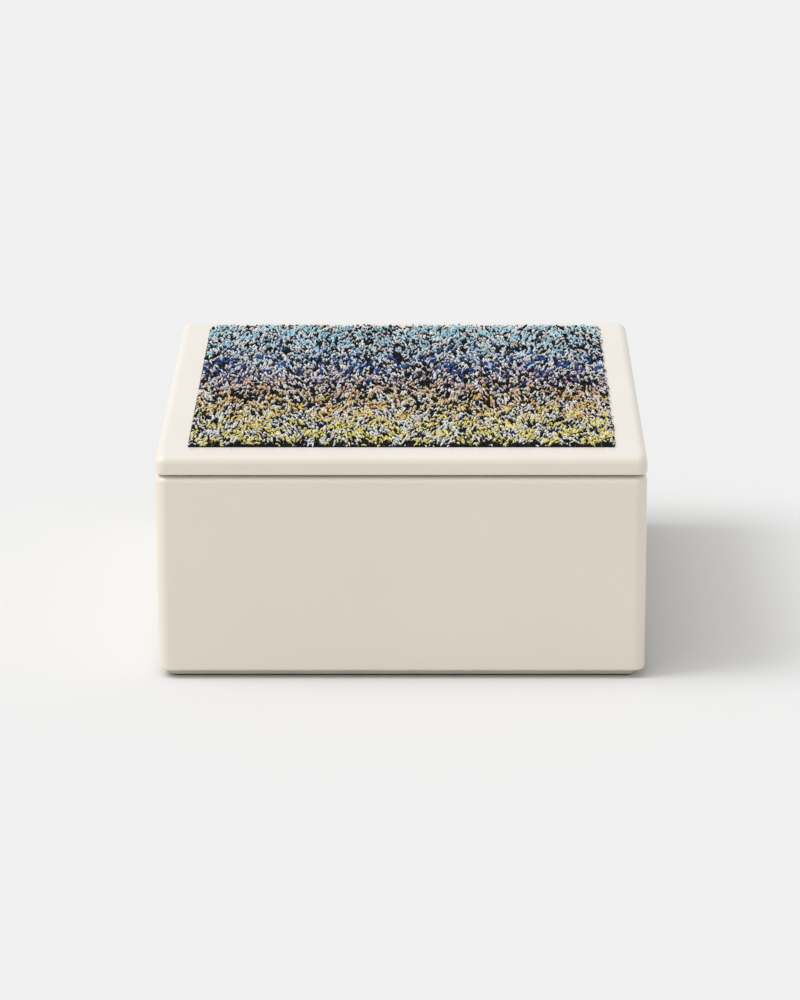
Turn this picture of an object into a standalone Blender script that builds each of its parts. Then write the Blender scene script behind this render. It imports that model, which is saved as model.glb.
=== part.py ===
"""A lidded keepsake box, in metres, +Z up.

Four mitred walls stand on a recessed foot, round a bottom board. A lift-off lid carries a pile
cloth panel in a pocket in its top, and a locator board below that drops into the opening.
The inside is lined with suede covered boards.

The origin is under the middle of the box, on the surface that it stands on. The front faces -Y.
"""

import math

import bmesh
import bpy

# Whole box
BOX_WIDTH = 0.2400
BOX_DEPTH = 0.2640
GLUE_GAP = 0.0003
CUT_OVERRUN = 0.0020
LEAST_CORNER_RADIUS = 0.0002

# Foot
FELT_THICKNESS = 0.0006
PLINTH_THICKNESS = 0.0028
PLINTH_CORNER_RADIUS = 0.0030
FELT_INSET = 0.0010

# Walls and bottom board
WALL_HEIGHT = 0.0994
WALL_THICKNESS = 0.0100
WALL_CORNER_RADIUS = 0.0060
WALL_TOP_RADIUS = 0.0030
WALL_BOTTOM_RADIUS = 0.0015
REBATE_WIDTH = 0.0050
BOTTOM_THICKNESS = 0.0060

# Loose splines in the mitres
SPLINE_THICKNESS = 0.0030
SPLINE_WIDTH = 0.0080
SPLINE_SETBACK = 0.0050
SPLINE_END_MARGIN = 0.0120

# Lining boards
LINING_THICKNESS = 0.0020
LINING_DROP = 0.0080
LINING_EDGE_RADIUS = 0.0005

# Lid, whose underside is rebated round the edge to leave a shadow line above the rim
LID_THICKNESS = 0.0100
SHADOW_GAP = 0.0008
SHADOW_DEPTH = 0.0060
LID_CORNER_RADIUS = 0.0052
LID_TOP_RADIUS = 0.0048
LID_BOTTOM_RADIUS = 0.0010
LOCATOR_THICKNESS = 0.0050
LOCATOR_PLAY = 0.0015
LOCATOR_CORNER_RADIUS = 0.0030
LOCATOR_LEAD_RADIUS = 0.0015
LID_LINING_MARGIN = 0.0060
LID_LINING_THICKNESS = 0.0015
LID_LINING_CORNER_RADIUS = 0.0020

# Cloth panel in the lid
POCKET_MARGIN_X = 0.0155
POCKET_MARGIN_Y = 0.0152
POCKET_DEPTH = 0.0025
POCKET_CORNER_RADIUS = 0.0010
CARD_THICKNESS = 0.0008
PILE_STAND = 0.0024
PILE_EDGE_RADIUS = 0.0009

# Steps round a quarter turn
CORNER_STEPS = 12
EDGE_STEPS = 8
SMALL_STEPS = 4

# Heights of the stack, from the floor up
PLINTH_Z = FELT_THICKNESS + GLUE_GAP
WALL_Z = PLINTH_Z + PLINTH_THICKNESS + GLUE_GAP
RIM_Z = WALL_Z + WALL_HEIGHT
LID_Z = RIM_Z + GLUE_GAP
LID_HEIGHT = SHADOW_GAP + LID_THICKNESS
LID_TOP_Z = LID_Z + LID_HEIGHT
FLOOR_Z = WALL_Z + BOTTOM_THICKNESS

# Half sizes of the opening between the walls
OPENING_HALF_X = BOX_WIDTH / 2 - WALL_THICKNESS
OPENING_HALF_Y = BOX_DEPTH / 2 - WALL_THICKNESS

# Half sizes of the bottom board, which fills the rebate, and of the foot, which is cut to match it
BOTTOM_HALF_X = OPENING_HALF_X + REBATE_WIDTH - GLUE_GAP
BOTTOM_HALF_Y = OPENING_HALF_Y + REBATE_WIDTH - GLUE_GAP


def clear_scene():
    """Removes whatever the scene starts with."""
    for item in list(bpy.data.objects):
        bpy.data.objects.remove(item, do_unlink=True)


def make_material(name, colour, roughness, sheen=0.0, coat=0.0):
    """A plain finish: linear colour, roughness, cloth sheen and lacquer coat."""
    material = bpy.data.materials.new(name)
    material.use_nodes = True
    shader = material.node_tree.nodes["Principled BSDF"]
    shader.inputs["Base Color"].default_value = (*colour, 1.0)
    shader.inputs["Roughness"].default_value = roughness
    shader.inputs["Metallic"].default_value = 0.0
    shader.inputs["Sheen Weight"].default_value = sheen
    shader.inputs["Coat Weight"].default_value = coat
    material.diffuse_color = (*colour, 1.0)
    return material


def cream_lacquer():
    return make_material("cream_lacquer", (0.76, 0.70, 0.58), 0.32, coat=0.25)


def bare_board():
    return make_material("bare_board", (0.42, 0.29, 0.17), 0.80)


def foot_paint():
    return make_material("foot_paint", (0.50, 0.46, 0.39), 0.55)


def charcoal_felt():
    return make_material("charcoal_felt", (0.030, 0.028, 0.026), 0.95, sheen=0.3)


def taupe_suede():
    return make_material("taupe_suede", (0.25, 0.20, 0.15), 0.90, sheen=0.5)


def grey_card():
    return make_material("grey_card", (0.20, 0.19, 0.18), 0.90)


def melange_pile():
    return make_material("melange_pile", (0.17, 0.18, 0.19), 0.95, sheen=0.4)


def add_object(name, mesh, material=None, place=(0, 0, 0), parent=None):
    """One named object in the scene, at a place in its parent's space."""
    item = bpy.data.objects.new(name, mesh)
    bpy.context.collection.objects.link(item)
    item.location = place
    if parent is not None:
        item.parent = parent
    if material is not None:
        mesh.materials.append(material)
    return item


def finish_mesh(name, shape):
    """Writes a bmesh to a mesh that shades smooth over its rounded edges."""
    bmesh.ops.recalc_face_normals(shape, faces=shape.faces)
    mesh = bpy.data.meshes.new(name)
    shape.to_mesh(mesh)
    shape.free()
    mesh.shade_smooth()
    mesh.set_sharp_from_angle(angle=math.radians(35))
    return mesh


def rounded_levels(height, bottom_radius, top_radius, steps):
    """(height, inset) pairs up the side of a block whose lower and upper edges are rounded."""
    levels = []
    turns = [math.radians(90) * step / steps for step in range(steps + 1)]
    if bottom_radius:
        for turn in turns:
            levels.append((bottom_radius * (1 - math.cos(turn)), bottom_radius * (1 - math.sin(turn))))
    else:
        levels.append((0, 0))
    if top_radius:
        for turn in turns:
            levels.append((height - top_radius * (1 - math.sin(turn)), top_radius * (1 - math.cos(turn))))
    else:
        levels.append((height, 0))
    return levels


def rounded_outline(half_x, half_y, radius, steps):
    """Points round a rectangle with round corners, anticlockwise from above."""
    points = []
    for side_x, side_y, start in ((1, 1, 0), (-1, 1, 90), (-1, -1, 180), (1, -1, 270)):
        for step in range(steps + 1):
            turn = math.radians(start + 90 * step / steps)
            x = side_x * (half_x - radius) + radius * math.cos(turn)
            y = side_y * (half_y - radius) + radius * math.sin(turn)
            points.append((x, y))
    return points


def rounded_block(name, half_x, half_y, corner_radius, levels, steps=CORNER_STEPS):
    """A block standing on its own z = 0: one ring of points for each level, joined by faces."""
    shape = bmesh.new()
    rings = []
    for height, inset in levels:
        radius = max(corner_radius - inset, LEAST_CORNER_RADIUS)
        outline = rounded_outline(half_x - inset, half_y - inset, radius, steps)
        rings.append([shape.verts.new((x, y, height)) for x, y in outline])
    for lower, upper in zip(rings, rings[1:]):
        for here in range(len(lower)):
            there = (here + 1) % len(lower)
            shape.faces.new((lower[here], lower[there], upper[there], upper[here]))
    shape.faces.new(list(reversed(rings[0])))
    shape.faces.new(rings[-1])
    return finish_mesh(name, shape)


def plain_block(name, size_x, size_y, size_z):
    """A square block standing on its own z = 0."""
    shape = bmesh.new()
    bmesh.ops.create_cube(shape, size=1)
    bmesh.ops.scale(shape, vec=(size_x, size_y, size_z), verts=shape.verts)
    bmesh.ops.translate(shape, vec=(0, 0, size_z / 2), verts=shape.verts)
    return finish_mesh(name, shape)


def add_cutter(name, mesh, place, turn=0.0):
    """A guide solid that a Boolean reads, which isn't a piece of the box."""
    cutter = add_object(name, mesh, place=place)
    cutter.rotation_euler.z = turn
    cutter.hide_render = True
    cutter.display_type = "WIRE"
    return cutter


def cut(item, cutter, operation="DIFFERENCE"):
    modifier = item.modifiers.new(cutter.name, "BOOLEAN")
    modifier.operation = operation
    modifier.object = cutter
    modifier.solver = "EXACT"


def ease_edges(item, radius, steps=2):
    """Rounds every edge of a piece a little, as its wrapped cover does."""
    modifier = item.modifiers.new("eased_edges", "BEVEL")
    modifier.width = radius
    modifier.segments = steps
    modifier.limit_method = "ANGLE"
    modifier.angle_limit = math.radians(40)


def wedge_mesh(name, half_length, inner_offset):
    """The space of one mitred wall: a prism whose ends lean at 45 degrees.

    It lies along X, with the wall's outer face at y = 0 and the inside of the box at +Y.
    inner_offset is how far each end stands back, along X, from its true 45 degree plane.
    """
    outer = -CUT_OVERRUN
    inner = WALL_THICKNESS + CUT_OVERRUN
    outer_x = half_length - outer - inner_offset
    inner_x = half_length - inner - inner_offset
    outline = ((-outer_x, outer), (outer_x, outer), (inner_x, inner), (-inner_x, inner))
    shape = bmesh.new()
    low = [shape.verts.new((x, y, -CUT_OVERRUN)) for x, y in outline]
    high = [shape.verts.new((x, y, WALL_HEIGHT + CUT_OVERRUN)) for x, y in outline]
    for here in range(4):
        there = (here + 1) % 4
        shape.faces.new((low[here], low[there], high[there], high[here]))
    shape.faces.new(list(reversed(low)))
    shape.faces.new(high)
    return finish_mesh(name, shape)


def add_walls(body, lacquer):
    """Four walls cut from one rounded block by the mitres, the opening, the rebate and the spline slots."""
    levels = rounded_levels(WALL_HEIGHT, WALL_BOTTOM_RADIUS, WALL_TOP_RADIUS, EDGE_STEPS)
    opening_height = WALL_HEIGHT + 2 * CUT_OVERRUN
    opening = add_cutter(
        "opening_cutter",
        plain_block("opening_cutter", 2 * OPENING_HALF_X, 2 * OPENING_HALF_Y, opening_height),
        (0, 0, WALL_Z - CUT_OVERRUN),
    )
    rebate = add_cutter(
        "rebate_cutter",
        plain_block(
            "rebate_cutter",
            2 * (OPENING_HALF_X + REBATE_WIDTH),
            2 * (OPENING_HALF_Y + REBATE_WIDTH),
            BOTTOM_THICKNESS + GLUE_GAP + CUT_OVERRUN,
        ),
        (0, 0, WALL_Z - CUT_OVERRUN),
    )
    half_x = BOX_WIDTH / 2
    half_y = BOX_DEPTH / 2
    mitre_offset = GLUE_GAP / math.sqrt(2)
    sides = (
        ("front_wall", (0, -half_y), 0, half_x),
        ("right_wall", (half_x, 0), 90, half_y),
        ("back_wall", (0, half_y), 180, half_x),
        ("left_wall", (-half_x, 0), 270, half_y),
    )
    slots = add_slots()
    for name, (x, y), turn, half_length in sides:
        blank = rounded_block(name, half_x, half_y, WALL_CORNER_RADIUS, levels)
        wall = add_object(name, blank, lacquer, (0, 0, WALL_Z), body)
        wedge = wedge_mesh(name + "_wedge", half_length, mitre_offset)
        guide = add_cutter(name + "_wedge", wedge, (x, y, WALL_Z), math.radians(turn))
        cut(wall, guide, "INTERSECT")
        cut(wall, opening)
        cut(wall, rebate)
        for corner, slot in slots.items():
            if name.split("_")[0] in corner.split("_"):
                cut(wall, slot)


def spline_corners():
    """Each corner's name, with its signs along X and Y."""
    return (
        ("front_left", -1, -1),
        ("front_right", 1, -1),
        ("back_left", -1, 1),
        ("back_right", 1, 1),
    )


def spline_place(side_x, side_y):
    """The middle of a corner's spline, out along the mitre from the opening's corner."""
    reach = SPLINE_SETBACK / math.sqrt(2)
    x = side_x * (OPENING_HALF_X + reach)
    y = side_y * (OPENING_HALF_Y + reach)
    return x, y


def spline_turn(side_x, side_y):
    """The turn about Z that lays a spline's thickness along its mitre."""
    return math.radians(45 * side_x * side_y)


def add_slots():
    """The slot of each spline: the spline's own size with the glue gap all round."""
    slots = {}
    slot_height = WALL_HEIGHT - 2 * SPLINE_END_MARGIN + 2 * GLUE_GAP
    for corner, side_x, side_y in spline_corners():
        mesh = plain_block(
            corner + "_slot",
            SPLINE_THICKNESS + 2 * GLUE_GAP,
            SPLINE_WIDTH + 2 * GLUE_GAP,
            slot_height,
        )
        x, y = spline_place(side_x, side_y)
        place = (x, y, WALL_Z + SPLINE_END_MARGIN - GLUE_GAP)
        slots[corner] = add_cutter(corner + "_slot", mesh, place, spline_turn(side_x, side_y))
    return slots


def add_splines(body, wood):
    """A loose tongue of bare board in each mitre, stopped short of the rim and the foot."""
    height = WALL_HEIGHT - 2 * SPLINE_END_MARGIN
    for corner, side_x, side_y in spline_corners():
        mesh = plain_block(corner + "_spline", SPLINE_THICKNESS, SPLINE_WIDTH, height)
        x, y = spline_place(side_x, side_y)
        spline = add_object(corner + "_spline", mesh, wood, (x, y, WALL_Z + SPLINE_END_MARGIN), body)
        spline.rotation_euler.z = spline_turn(side_x, side_y)


def add_bottom(body, wood):
    """The bottom board, flush with the walls' lower edges in their rebate."""
    mesh = plain_block("bottom_board", 2 * BOTTOM_HALF_X, 2 * BOTTOM_HALF_Y, BOTTOM_THICKNESS)
    add_object("bottom_board", mesh, wood, (0, 0, WALL_Z), body)


def add_foot(body, paint, felt):
    """The recessed foot and the felt under it."""
    levels = rounded_levels(PLINTH_THICKNESS, 0, 0, SMALL_STEPS)
    mesh = rounded_block(
        "plinth_board",
        BOTTOM_HALF_X,
        BOTTOM_HALF_Y,
        PLINTH_CORNER_RADIUS,
        levels,
        SMALL_STEPS,
    )
    add_object("plinth_board", mesh, paint, (0, 0, PLINTH_Z), body)
    levels = rounded_levels(FELT_THICKNESS, 0, 0, SMALL_STEPS)
    mesh = rounded_block(
        "base_felt",
        BOTTOM_HALF_X - FELT_INSET,
        BOTTOM_HALF_Y - FELT_INSET,
        PLINTH_CORNER_RADIUS,
        levels,
        SMALL_STEPS,
    )
    add_object("base_felt", mesh, felt, (0, 0, 0), body)


def add_linings(body, suede):
    """Suede covered boards: one on the floor, and one against each wall, standing on the floor one."""
    floor_x = 2 * (OPENING_HALF_X - GLUE_GAP)
    floor_y = 2 * (OPENING_HALF_Y - GLUE_GAP)
    floor_place = FLOOR_Z + GLUE_GAP
    mesh = plain_block("floor_lining", floor_x, floor_y, LINING_THICKNESS)
    floor = add_object("floor_lining", mesh, suede, (0, 0, floor_place), body)
    ease_edges(floor, LINING_EDGE_RADIUS)
    stand = floor_place + LINING_THICKNESS + GLUE_GAP
    height = RIM_Z - LINING_DROP - stand
    side_length = floor_y - 2 * (LINING_THICKNESS + GLUE_GAP)
    middle_x = OPENING_HALF_X - GLUE_GAP - LINING_THICKNESS / 2
    middle_y = OPENING_HALF_Y - GLUE_GAP - LINING_THICKNESS / 2
    boards = (
        ("front_lining", floor_x, LINING_THICKNESS, (0, -middle_y, stand)),
        ("back_lining", floor_x, LINING_THICKNESS, (0, middle_y, stand)),
        ("left_lining", LINING_THICKNESS, side_length, (-middle_x, 0, stand)),
        ("right_lining", LINING_THICKNESS, side_length, (middle_x, 0, stand)),
    )
    for name, size_x, size_y, place in boards:
        board = add_object(name, plain_block(name, size_x, size_y, height), suede, place, body)
        ease_edges(board, LINING_EDGE_RADIUS)


def add_lid_board(lid, lacquer):
    """The lid, as wide as the body: round edges, a rebate below them and a square pocket in its top."""
    edge = rounded_levels(LID_THICKNESS, LID_BOTTOM_RADIUS, LID_TOP_RADIUS, EDGE_STEPS)
    levels = [(0, SHADOW_DEPTH), (SHADOW_GAP, SHADOW_DEPTH)]
    levels += [(SHADOW_GAP + height, inset) for height, inset in edge]
    mesh = rounded_block("lid_board", BOX_WIDTH / 2, BOX_DEPTH / 2, LID_CORNER_RADIUS, levels)
    board = add_object("lid_board", mesh, lacquer, (0, 0, 0), lid)
    pocket_levels = rounded_levels(POCKET_DEPTH + CUT_OVERRUN, 0, 0, SMALL_STEPS)
    pocket = rounded_block(
        "pocket_cutter",
        BOX_WIDTH / 2 - POCKET_MARGIN_X,
        BOX_DEPTH / 2 - POCKET_MARGIN_Y,
        POCKET_CORNER_RADIUS,
        pocket_levels,
        SMALL_STEPS,
    )
    cut(board, add_cutter("pocket_cutter", pocket, (0, 0, LID_TOP_Z - POCKET_DEPTH)))


def add_locator(lid, lacquer, suede):
    """The board that drops into the opening, and the suede covered board below it."""
    half_x = OPENING_HALF_X - LOCATOR_PLAY
    half_y = OPENING_HALF_Y - LOCATOR_PLAY
    levels = rounded_levels(LOCATOR_THICKNESS, LOCATOR_LEAD_RADIUS, 0, SMALL_STEPS)
    mesh = rounded_block("lid_locator", half_x, half_y, LOCATOR_CORNER_RADIUS, levels, SMALL_STEPS)
    add_object("lid_locator", mesh, lacquer, (0, 0, -GLUE_GAP - LOCATOR_THICKNESS), lid)
    levels = rounded_levels(LID_LINING_THICKNESS, LINING_EDGE_RADIUS, LINING_EDGE_RADIUS, SMALL_STEPS)
    mesh = rounded_block(
        "lid_lining",
        half_x - LID_LINING_MARGIN,
        half_y - LID_LINING_MARGIN,
        LID_LINING_CORNER_RADIUS,
        levels,
        SMALL_STEPS,
    )
    drop = 2 * GLUE_GAP + LOCATOR_THICKNESS + LID_LINING_THICKNESS
    add_object("lid_lining", mesh, suede, (0, 0, -drop), lid)


def add_cloth_panel(lid, card_colour, pile):
    """The card in the pocket, and the pile cloth on it, which stands proud of the lid."""
    half_x = BOX_WIDTH / 2 - POCKET_MARGIN_X - GLUE_GAP
    half_y = BOX_DEPTH / 2 - POCKET_MARGIN_Y - GLUE_GAP
    pocket_floor = LID_HEIGHT - POCKET_DEPTH
    card_z = pocket_floor + GLUE_GAP
    levels = rounded_levels(CARD_THICKNESS, 0, 0, SMALL_STEPS)
    mesh = rounded_block("insert_card", half_x, half_y, POCKET_CORNER_RADIUS, levels, SMALL_STEPS)
    add_object("insert_card", mesh, card_colour, (0, 0, card_z), lid)
    cloth_z = card_z + CARD_THICKNESS + GLUE_GAP
    cloth_height = LID_HEIGHT + PILE_STAND - cloth_z
    levels = rounded_levels(cloth_height, 0, PILE_EDGE_RADIUS, SMALL_STEPS)
    mesh = rounded_block("textile_insert", half_x, half_y, POCKET_CORNER_RADIUS, levels, SMALL_STEPS)
    add_object("textile_insert", mesh, pile, (0, 0, cloth_z), lid)


def add_empty(name, place):
    """A frame that the pieces of one rigid group are parented to."""
    empty = bpy.data.objects.new(name, None)
    bpy.context.collection.objects.link(empty)
    empty.location = place
    return empty


def build():
    clear_scene()
    lacquer = cream_lacquer()
    wood = bare_board()
    suede = taupe_suede()
    body = add_empty("body_frame", (0, 0, 0))
    add_walls(body, lacquer)
    add_splines(body, wood)
    add_bottom(body, wood)
    add_foot(body, foot_paint(), charcoal_felt())
    add_linings(body, suede)
    lid = add_empty("lid_frame", (0, 0, LID_Z))
    add_lid_board(lid, lacquer)
    add_locator(lid, lacquer, suede)
    add_cloth_panel(lid, grey_card(), melange_pile())
    bpy.context.view_layer.update()


build()
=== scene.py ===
"""Looks for the keepsake box: a lacquered case and lid, a looped pile panel and suede linings.

Metres, +Z up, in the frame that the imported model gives. Sizes and places come from that model's
nodes, or are named below: in metres, or as the end of the name says, in millimetres, degrees or
pixels of the photograph. A share is a part of a size or of an amount.
"""

import math

import bmesh
import bpy
import numpy as np
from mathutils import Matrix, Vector


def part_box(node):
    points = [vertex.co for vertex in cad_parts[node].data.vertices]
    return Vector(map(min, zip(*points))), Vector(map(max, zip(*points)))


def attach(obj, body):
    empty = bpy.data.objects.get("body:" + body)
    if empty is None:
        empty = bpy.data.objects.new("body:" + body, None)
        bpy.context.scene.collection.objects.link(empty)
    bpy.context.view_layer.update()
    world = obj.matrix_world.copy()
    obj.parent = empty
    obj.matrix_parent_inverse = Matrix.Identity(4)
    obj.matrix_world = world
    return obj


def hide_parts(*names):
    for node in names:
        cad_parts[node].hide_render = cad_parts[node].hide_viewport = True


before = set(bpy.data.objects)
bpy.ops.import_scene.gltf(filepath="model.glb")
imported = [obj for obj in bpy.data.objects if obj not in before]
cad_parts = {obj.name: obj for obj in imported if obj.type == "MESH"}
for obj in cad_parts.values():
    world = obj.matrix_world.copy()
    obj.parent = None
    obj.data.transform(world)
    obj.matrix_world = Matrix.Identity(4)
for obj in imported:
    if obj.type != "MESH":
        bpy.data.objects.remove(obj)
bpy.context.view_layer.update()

SEED = 20
MM = 0.001

# Camera, fitted to the photograph's frame of 800 by 1000 pixels. Its shares are of the lid's width.
FRAME_WIDTH_PX = 800
FOCAL_LENGTH_PX = 4426
OPTICAL_AXIS_PX = 432.8
SENSOR_WIDTH_MM = 36.0
CAMERA_DROP_DEG = 16.64
CAMERA_SIDE_SHARE = 0.064
CAMERA_BACK_SHARE = 8.61
CAMERA_RISE_SHARE = 2.48

# Light: a lamp from the left, a wider and higher one beside it, and an even surround.
# Each share is the brightness that it alone gives a white floor, where 1 shows as pure white.
KEY_TURN_DEG = 8.0
KEY_HEIGHT_DEG = 50.0
KEY_SPREAD_DEG = 28.0
KEY_SHARE = 0.293
HIGH_TURN_DEG = 19.5
HIGH_HEIGHT_DEG = 64.0
HIGH_SPREAD_DEG = 50.0
HIGH_SHARE = 0.261
SURROUND_SHARE = 0.641
FLOOR_TONE = 0.733
BACKDROP_TONE = 0.880
FLOOR_SIZE = 12.0

# Sockets of a Mix node that mixes colours
MIX_FACTOR = 0
MIX_FIRST = 6
MIX_SECOND = 7
MIX_RESULT = 2

# Gap between glued pieces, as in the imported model
GLUE_GAP = 0.3 * MM

# Steps round a quarter turn: of an outline's corner, an outer edge, the rim's inner edge and the
# pocket's edge. No corner of an outline is sharper than the least radius.
CORNER_STEPS = 24
EDGE_STEPS = 14
RIM_STEPS = 6
POCKET_STEPS = 4
LEAST_CORNER_RADIUS = 0.3 * MM

# Case
CASE_CORNER_RADIUS = 6.0 * MM
CASE_TOP_RADIUS = 3.0 * MM
CASE_BOTTOM_RADIUS = 1.5 * MM
CASE_RIM_RADIUS = 0.6 * MM

# Lid
LID_CORNER_RADIUS = 5.2 * MM
LID_TOP_RADIUS = 4.8 * MM
LID_BOTTOM_RADIUS = 1.0 * MM
SHADOW_GAP = 0.8 * MM
SHADOW_DEPTH = 6.0 * MM
POCKET_CORNER_RADIUS = 1.0 * MM
POCKET_EDGE_RADIUS = 0.3 * MM

# The cloth's woven ground. Its ripples' lengths are wavelengths over two pi.
GROUND_THICKNESS = 0.8 * MM
GROUND_STEP = 1.2 * MM
GROUND_RIPPLE = 0.06 * MM
RIPPLE_LENGTH_X = 7 * MM
RIPPLE_LENGTH_Y = 9 * MM
WEAVE_PITCH = 0.7 * MM
WAVE_PERIOD = 0.314  # of a Wave texture whose scale is 1

# The cord that binds the cloth's front and left edges, whose black is also painted shade for the
# shadow line along them. It lies partly sunk in the ground.
CORD_RADIUS = 0.38 * MM
CORD_SIDES = 8
CORD_STEP = 1.5 * MM
CORD_EDGE_GAP = 0.05 * MM
CORD_LIFT_SHARE = 0.6
CORD_RIPPLE = 0.08 * MM
CORD_RIPPLE_TURN = 1.7

# Any yarn loop: a tube with a point at each foot, and a crown that this power rounds
LOOP_SIDES = 5
LOOP_RINGS = 5
CROWN_POWER = 0.8
YARN_RADIUS = 0.35 * MM
FOOT_DEPTH = 0.1 * MM
PILE_INSET = 0.55 * MM
LOOPS_PER_PIECE = 3800
TILE_MARGIN = 0.06

# Standing loops. Those of a pale or coloured yarn rise above the black ones.
LOOP_PITCH = 1.8 * MM
ROW_PITCH = 1.55 * MM
PLACE_JITTER_SHARE = 0.30
HEADING_DEG = 30
HEADING_SPREAD_DEG = 32
REACH_MM = (0.80, 1.20)
LOOP_HEIGHT = 1.70 * MM
PALE_LOOP_RISE = 0.50 * MM
HEIGHT_SPREAD_MM = 0.30
SHORTEST_LOOP = 1.1 * MM
TALLEST_LOOP = 3.1 * MM
TILT = 0.90 * MM
TILT_SPREAD_MM = 0.45
LEAN = 0.20 * MM
LEAN_SPREAD_MM = 0.35
RADIUS_SHARES = (0.85, 1.2)

# Their bound edges at the front and left, their loose ones, and the shoulder down to the edges
BOUND_WIDTH = 2 * MM
BOUND_LEAN_SHARE = 0.3
LOOSE_WIDTH = 3 * MM
LOOSE_LEAN_MM = (-0.2, 0.9)
SHOULDER_SHARE = 0.66
SHOULDER_WIDTH = 5.0 * MM

# Stray yarn ends that hang over the loose edges
STRAYS = 260
STRAY_RIGHT_SHARE = 0.5
STRAY_PAST_RIGHT_MM = (-0.8, 0.6)
STRAY_PAST_BACK_MM = (-0.8, 0.9)
STRAY_START = 1 * MM
STRAY_LIFT = 0.05 * MM
STRAY_RADIUS_MM = (0.14, 0.26)
STRAY_REACH_MM = (0.5, 1.3)
STRAY_HEIGHT_MM = (0.3, 1.8)
STRAY_LEAN_SPREAD_MM = 0.5
STRAY_BLACK_SHARE = 0.7

# Low loops that fill the ground between the others. The shade is an added black share.
FILL_PITCH = 1.75 * MM
FILL_JITTER_MM = 0.4
FILL_REACH_MM = (0.6, 1.0)
FILL_HEIGHT = 0.95 * MM
FILL_HEIGHT_SHARES = (0.7, 1.3)
FILL_LEAN_SPREAD_MM = 0.3
FILL_RADIUS_SHARES = (0.9, 1.2)
FILL_CHECKER_SHARE = 0.5
FILL_SHADE = 0.02

# Each yarn's two linear colours
YARN_TONES = {
    "black": ((0.006, 0.006, 0.008), (0.012, 0.011, 0.012)),
    "white": ((0.94, 0.90, 0.88), (0.89, 0.91, 0.94)),
    "yellow": ((0.94, 0.68, 0.17), (0.90, 0.84, 0.33)),
    "ochre": ((0.88, 0.42, 0.17), (0.82, 0.60, 0.28)),
    "mauve": ((0.74, 0.46, 0.39), (0.68, 0.53, 0.55)),
    "navy": ((0.020, 0.050, 0.22), (0.06, 0.14, 0.42)),
    "sky": ((0.33, 0.56, 0.92), (0.62, 0.80, 0.95)),
    "teal": ((0.28, 0.62, 0.82), (0.55, 0.80, 0.90)),
}

# Middle and spread of each coloured yarn's band, from 0 at the front to 1 at the back, in the same order
YARN_BANDS = {
    "yellow": (0.10, 0.14),
    "ochre": (0.34, 0.10),
    "mauve": (0.49, 0.07),
    "navy": (0.62, 0.08),
    "sky": (0.78, 0.08),
    "teal": (0.94, 0.09),
}
BAND_JITTER_SHARE = 0.020
BAND_FLOOR = 1e-6

# Cloth pattern: a broken check of coloured patches in soft bands, and cells of turned nap, each
# with its own added black share up to the cell shade
PATCH_PITCH_X = 21.0 * MM
PATCH_PITCH_Y = 32.0 * MM
PATCH_SHARPNESS = 4.0
CELL_WIDTH = 26.0 * MM
CELL_LENGTH = 26.0 * MM
CELL_SHADE = 0.10
CELL_SHADES_REPEAT = 20

# Share of the loops that are black, and what moves it: the patches, two dark bands (middle, spread
# and added share), more black along the front edge as painted shade for the pile's shaded front side,
# and a checker of black and pale. Then the coloured share of the others, and what a patch adds to it.
DARK_SHARE = 0.55
DARK_PATCH_SHARE = 0.09
DARK_BANDS = ((0.43, 0.10, 0.18), (0.80, 0.05, 0.12))
PAINTED_FRONT_SHADE_SHARE = 0.50
PAINTED_FRONT_SHADE_WIDTH = 6 * MM
DARK_LIMITS = (0.03, 0.95)
CHECKER_SHARE = 0.30
TINT_SHARE = 0.52
TINT_PATCH_SHARE = 0.40


def material_tree(name):
    """A new material with its node tree and its Principled shader."""
    material = bpy.data.materials.new(name)
    material.use_nodes = True
    tree = material.node_tree
    return material, tree, tree.nodes["Principled BSDF"]


def place_input(tree):
    """Object coordinates, in metres."""
    return tree.nodes.new("ShaderNodeTexCoord").outputs["Object"]


def noise_at(tree, place, size, detail=2.0, roughness=0.5, distortion=0.0):
    """Noise whose features are about size metres wide."""
    node = tree.nodes.new("ShaderNodeTexNoise")
    node.inputs["Scale"].default_value = 1.0 / size
    node.inputs["Detail"].default_value = detail
    node.inputs["Roughness"].default_value = roughness
    node.inputs["Distortion"].default_value = distortion
    tree.links.new(place, node.inputs["Vector"])
    return node.outputs["Fac"]


def ramp_of(tree, value, stops):
    """A colour ramp through (position, linear colour) stops."""
    node = tree.nodes.new("ShaderNodeValToRGB")
    ramp = node.color_ramp
    while len(ramp.elements) < len(stops):
        ramp.elements.new(0.5)
    for element, (position, colour) in zip(ramp.elements, stops):
        element.position = position
        element.color = (*colour, 1.0)
    tree.links.new(value, node.inputs["Fac"])
    return node.outputs["Color"]


def mottle(tree, value, tone, stops):
    """One linear colour, darker and lighter along a value by (position, brightness) stops."""
    shades = []
    for position, brightness in stops:
        shades.append((position, tuple(channel * brightness for channel in tone)))
    return ramp_of(tree, value, shades)


def range_of(tree, value, low, high, from_low=0.3, from_high=0.7):
    """Maps a value from one range to another."""
    node = tree.nodes.new("ShaderNodeMapRange")
    node.inputs["From Min"].default_value = from_low
    node.inputs["From Max"].default_value = from_high
    node.inputs["To Min"].default_value = low
    node.inputs["To Max"].default_value = high
    tree.links.new(value, node.inputs["Value"])
    return node.outputs["Result"]


def bump_into(tree, shader, value, depth):
    """Drives the shader's normal with a height, depth metres from low to high."""
    node = tree.nodes.new("ShaderNodeBump")
    node.inputs["Strength"].default_value = 1.0
    node.inputs["Distance"].default_value = depth
    tree.links.new(value, node.inputs["Height"])
    tree.links.new(node.outputs["Normal"], shader.inputs["Normal"])


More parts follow.
